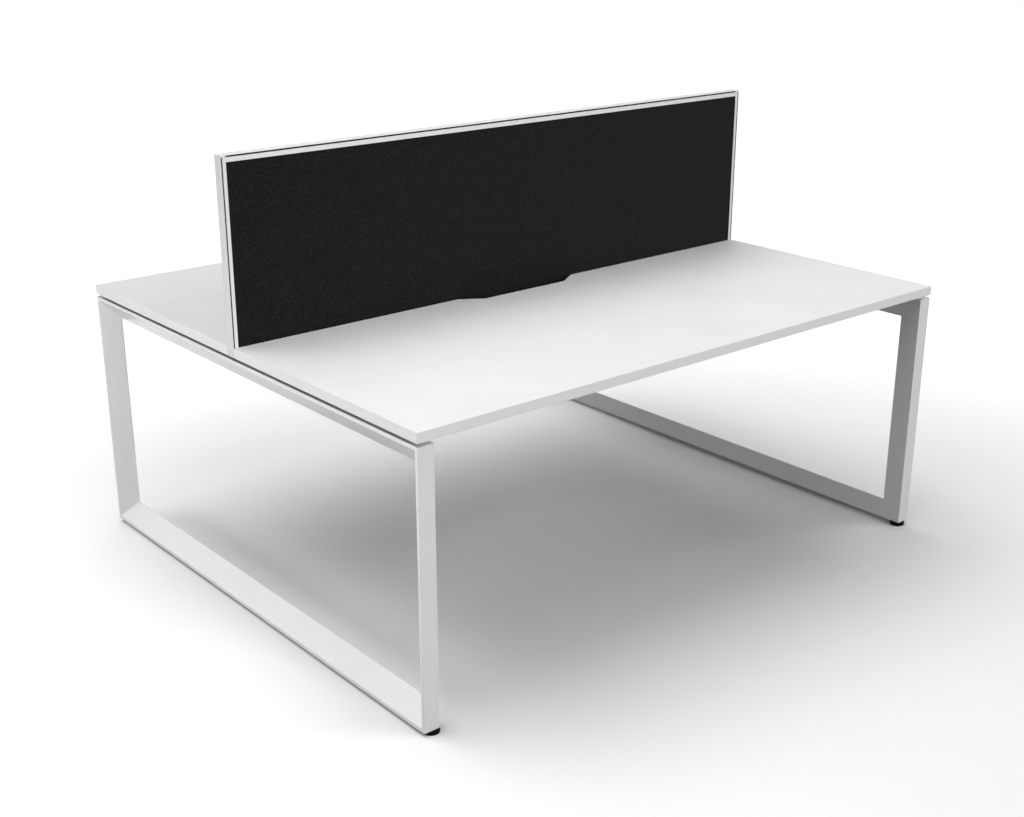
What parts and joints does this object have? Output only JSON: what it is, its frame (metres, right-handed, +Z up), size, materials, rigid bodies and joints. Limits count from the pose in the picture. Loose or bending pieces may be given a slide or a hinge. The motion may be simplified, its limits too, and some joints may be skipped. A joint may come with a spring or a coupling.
{
  "type": "benching desk",
  "caption": "Back-to-back white worktops on loop end frames with a dark fabric screen between them, cable notches at the screen and screw-in levelling feet, for facing users.",
  "frame": {"origin": "on the floor, under the centre of the desk", "axes": "+X along the worktops, +Y from the front user's side to the rear user's side, +Z up"},
  "size_m": [1.8, 1.541, 1.2],
  "materials": {
    "white_melamine": "white melamine-faced particle board, fine satin texture",
    "white_edge_band": "white ABS edge band, satin",
    "white_powder_coat": "white satin powder coat on steel tube and plate",
    "white_aluminium": "white powder coat on aluminium extrusion",
    "core_board": "raw pinnable fibre board",
    "charcoal_fabric": "charcoal woven polyester, matt",
    "black_nylon": "black moulded nylon",
    "zinc_steel": "bright zinc plate on steel"
  },
  "bodies": {
    "desk": {"left_bottom_rail": "white_powder_coat", "left_top_rail": "white_powder_coat", "left_front_upright": "white_powder_coat", "left_rear_upright": "white_powder_coat", "right_bottom_rail": "white_powder_coat", "right_top_rail": "white_powder_coat", "right_front_upright": "white_powder_coat", "right_rear_upright": "white_powder_coat", "left_front_foot_nut": "zinc_steel", "left_rear_foot_nut": "zinc_steel", "right_front_foot_nut": "zinc_steel", "right_rear_foot_nut": "zinc_steel", "front_worktop": "white_melamine", "front_notched_edge_band": "white_edge_band", "front_outer_edge_band": "white_edge_band", "front_left_edge_band": "white_edge_band", "front_right_edge_band": "white_edge_band", "rear_worktop": "white_melamine", "rear_notched_edge_band": "white_edge_band", "rear_outer_edge_band": "white_edge_band", "rear_left_edge_band": "white_edge_band", "rear_right_edge_band": "white_edge_band", "front_outer_beam": "white_powder_coat", "front_outer_beam_left_bracket": "white_powder_coat", "front_outer_beam_right_bracket": "white_powder_coat", "front_inner_beam": "white_powder_coat", "front_inner_beam_left_bracket": "white_powder_coat", "front_inner_beam_right_bracket": "white_powder_coat", "rear_outer_beam": "white_powder_coat", "rear_outer_beam_left_bracket": "white_powder_coat", "rear_outer_beam_right_bracket": "white_powder_coat", "rear_inner_beam": "white_powder_coat", "rear_inner_beam_left_bracket": "white_powder_coat", "rear_inner_beam_right_bracket": "white_powder_coat", "screen_top_rail": "white_aluminium", "screen_bottom_rail": "white_aluminium", "screen_left_post": "white_aluminium", "screen_right_post": "white_aluminium", "screen_left_corner_cap": "white_aluminium", "screen_right_corner_cap": "white_aluminium", "screen_core_panel": "core_board", "screen_front_fabric": "charcoal_fabric", "screen_rear_fabric": "charcoal_fabric", "screen_left_bridge_plate": "white_powder_coat", "screen_right_bridge_plate": "white_powder_coat", "screen_bolt_left_outer": "zinc_steel", "screen_bolt_left_inner": "zinc_steel", "screen_bolt_right_inner": "zinc_steel", "screen_bolt_right_outer": "zinc_steel"},
    "left_front_foot": {"left_front_foot_pad": "black_nylon", "left_front_foot_stud": "zinc_steel"},
    "left_rear_foot": {"left_rear_foot_pad": "black_nylon", "left_rear_foot_stud": "zinc_steel"},
    "right_front_foot": {"right_front_foot_pad": "black_nylon", "right_front_foot_stud": "zinc_steel"},
    "right_rear_foot": {"right_rear_foot_pad": "black_nylon", "right_rear_foot_stud": "zinc_steel"}
  },
  "joints": [
    {"name": "left_front_foot_level", "type": "slide", "parent": "desk", "child": "left_front_foot", "axis": [0, 0, -1], "range_m": [0, 0.015]},
    {"name": "left_rear_foot_level", "type": "slide", "parent": "desk", "child": "left_rear_foot", "axis": [0, 0, -1], "range_m": [0, 0.015]},
    {"name": "right_front_foot_level", "type": "slide", "parent": "desk", "child": "right_front_foot", "axis": [0, 0, -1], "range_m": [0, 0.015]},
    {"name": "right_rear_foot_level", "type": "slide", "parent": "desk", "child": "right_rear_foot", "axis": [0, 0, -1], "range_m": [0, 0.015]}
  ]
}
